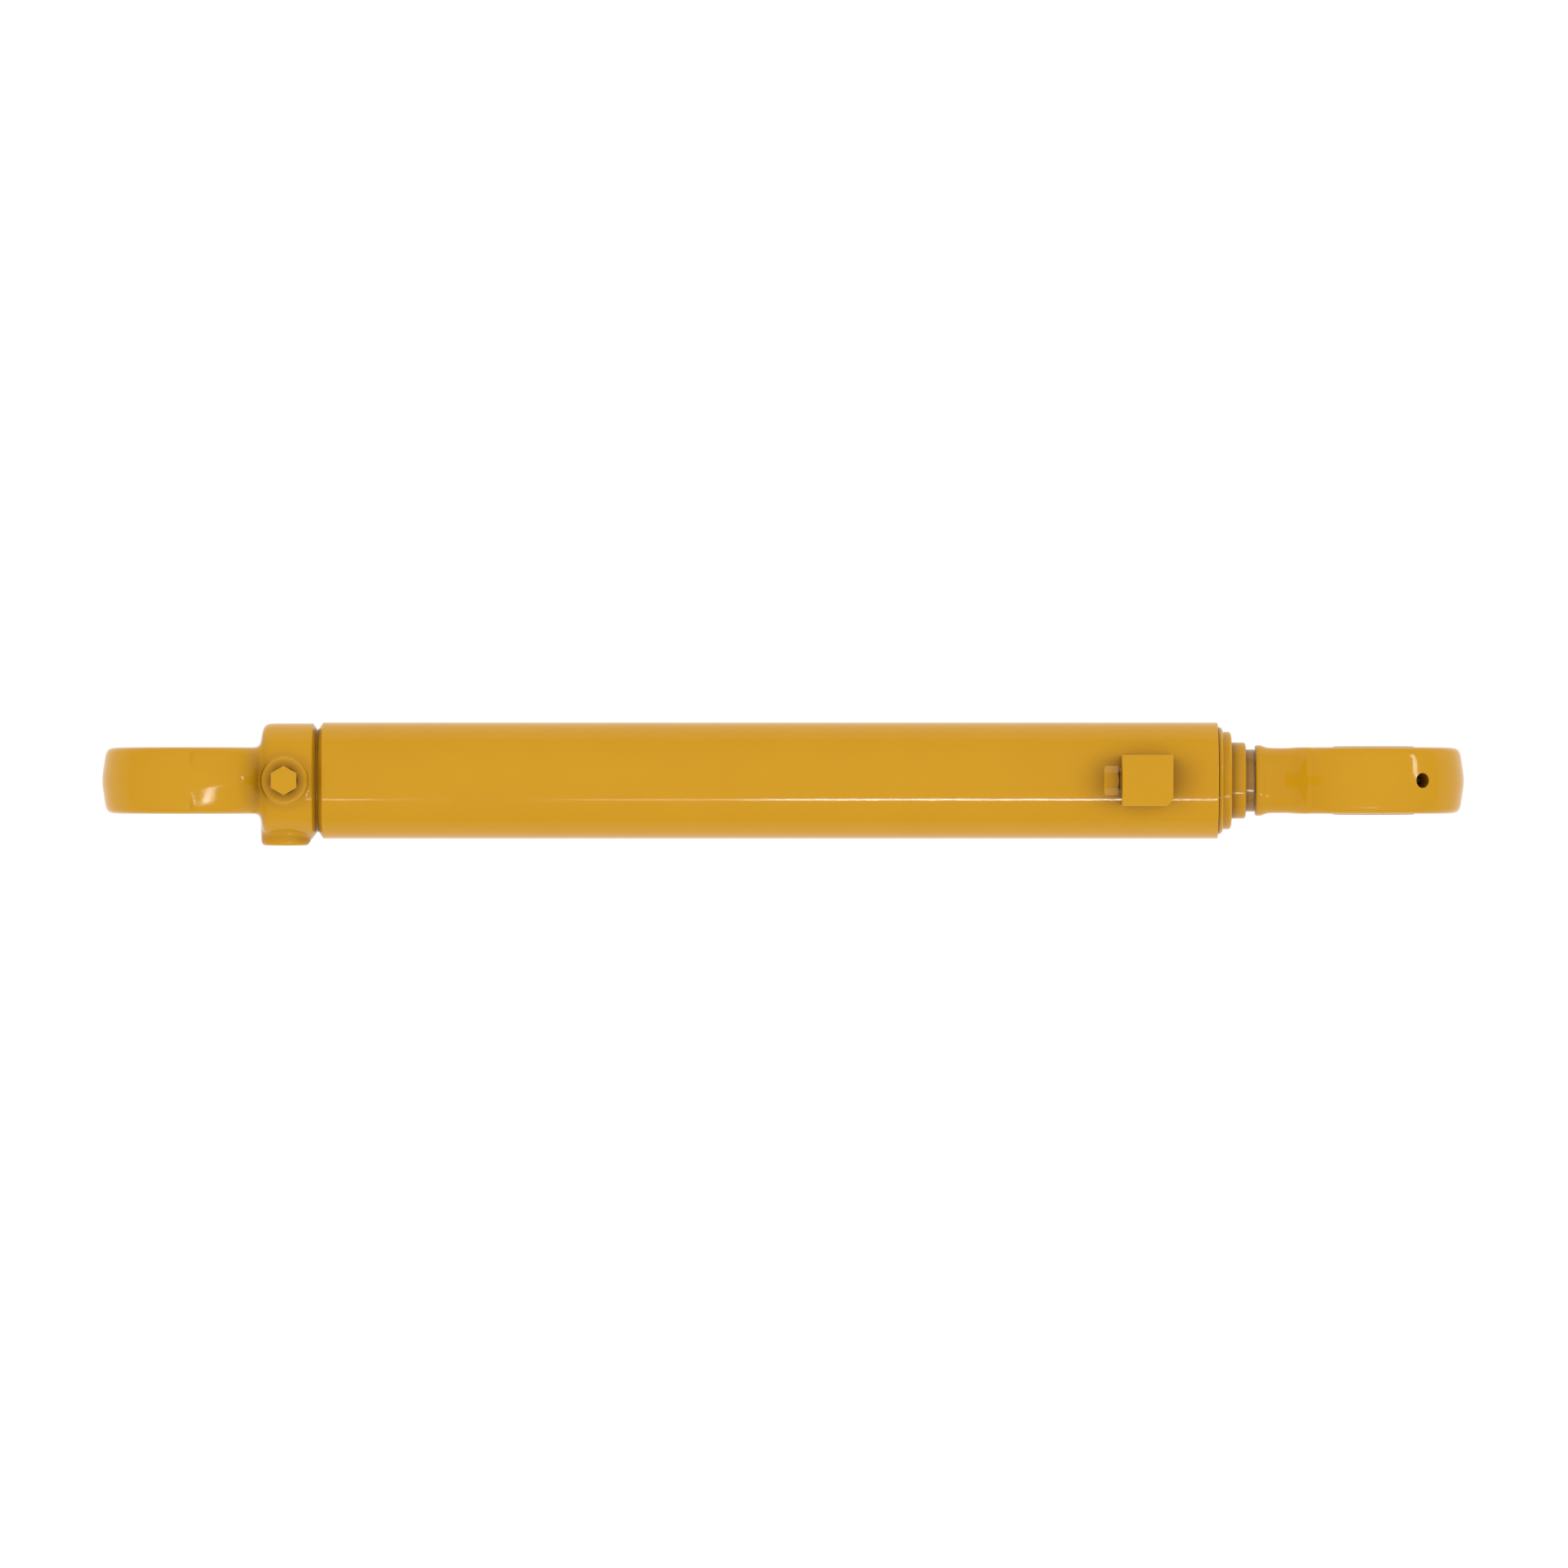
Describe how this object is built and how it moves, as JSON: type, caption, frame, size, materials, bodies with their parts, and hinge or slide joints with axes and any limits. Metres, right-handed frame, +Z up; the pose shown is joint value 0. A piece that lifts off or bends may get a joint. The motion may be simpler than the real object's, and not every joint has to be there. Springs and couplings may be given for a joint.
{
  "type": "hydraulic cylinder",
  "caption": "Double-acting hydraulic cylinder with a forged pin eye at each end, a port boss on the cap, a tall port block near the rod end, and its piston, rod and seals inside.",
  "frame": {"origin": "under the middle of the closed cylinder's bounding box, on the surface that the rims of both eyes stand on; the cylinder's own axis runs along X at y = 2.8 mm, z = 72.5 mm", "axes": "+X along the cylinder from the base eye to the rod eye, Y along both pins, +Z up, the way the port boss and the port block face"},
  "size_m": [1.0906, 0.0988, 0.168],
  "materials": {
    "enamel": "glossy yellow-orange machine enamel",
    "hard_chrome": "ground and polished hard chrome",
    "machined_steel": "turned steel",
    "bearing_bronze": "turned bronze",
    "black_rubber": "moulded nitrile rubber",
    "polyurethane": "moulded polyurethane",
    "phenolic": "fabric-reinforced phenolic",
    "filled_ptfe": "filled PTFE"
  },
  "bodies": {
    "barrel": {"base_end": "enamel", "barrel_tube": "enamel", "base_weld": "enamel", "rod_port_block": "enamel", "base_port_plug": "enamel", "rod_port_plug": "enamel", "base_port_o_ring": "black_rubber", "rod_port_o_ring": "black_rubber", "base_eye_bushing": "bearing_bronze", "base_eye_seal_left": "polyurethane", "base_eye_seal_right": "polyurethane", "gland": "enamel", "gland_lock_ring": "enamel", "gland_o_ring": "black_rubber", "gland_backup_ring": "filled_ptfe", "rod_guide_ring_inner": "phenolic", "rod_guide_ring_outer": "phenolic", "rod_buffer_seal": "polyurethane", "rod_seal": "polyurethane", "rod_wiper": "polyurethane"},
    "piston_rings": {"piston_seal": "filled_ptfe", "piston_seal_energiser": "black_rubber", "piston_wear_ring_base": "phenolic", "piston_wear_ring_rod": "phenolic"},
    "rod": {"piston_rod": "hard_chrome", "piston": "machined_steel", "piston_nut": "machined_steel", "piston_set_screw": "machined_steel", "piston_o_ring": "black_rubber", "rod_eye": "enamel", "rod_eye_bushing": "bearing_bronze", "rod_eye_seal_left": "polyurethane", "rod_eye_seal_right": "polyurethane", "rod_eye_grease_fitting": "machined_steel"}
  },
  "joints": [
    {"name": "rod_extend", "type": "slide", "parent": "barrel", "child": "piston_rings", "axis": [1, 0, 0], "range_m": [0, 0.585]},
    {"name": "rod_turn", "type": "hinge", "parent": "piston_rings", "child": "rod", "pos_m": [0, 0.0028, 0.0725], "axis": [1, 0, 0], "continuous": true}
  ]
}
